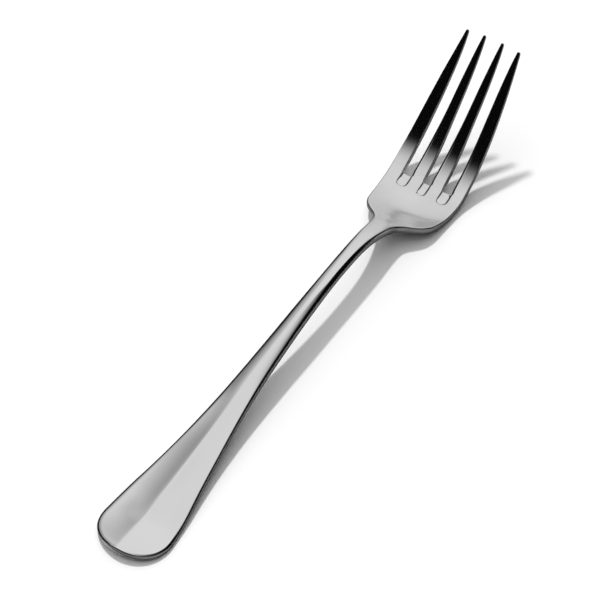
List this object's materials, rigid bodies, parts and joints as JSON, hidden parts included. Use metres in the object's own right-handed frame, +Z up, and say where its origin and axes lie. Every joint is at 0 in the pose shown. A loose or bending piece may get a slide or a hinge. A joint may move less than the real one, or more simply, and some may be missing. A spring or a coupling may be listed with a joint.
{
  "type": "dinner fork",
  "caption": "Dinner fork in polished steel: broad rounded handle with a centre ridge, slim arched neck, shallow palm and slender tines that curve up.",
  "frame": {"origin": "centre of the bounding box's base, on the table that the fork lies on", "axes": "+X from the handle's end towards the tips of the tines, +Y to the fork's left, +Z up, away from the table"},
  "size_m": [0.2034, 0.027, 0.0322],
  "materials": {
    "polished_steel": "polished"
  },
  "bodies": {
    "root": {"handle": "polished_steel", "neck": "polished_steel", "palm": "polished_steel", "tine_outer_left": "polished_steel", "tine_inner_left": "polished_steel", "tine_inner_right": "polished_steel", "tine_outer_right": "polished_steel"}
  },
  "joints": []
}
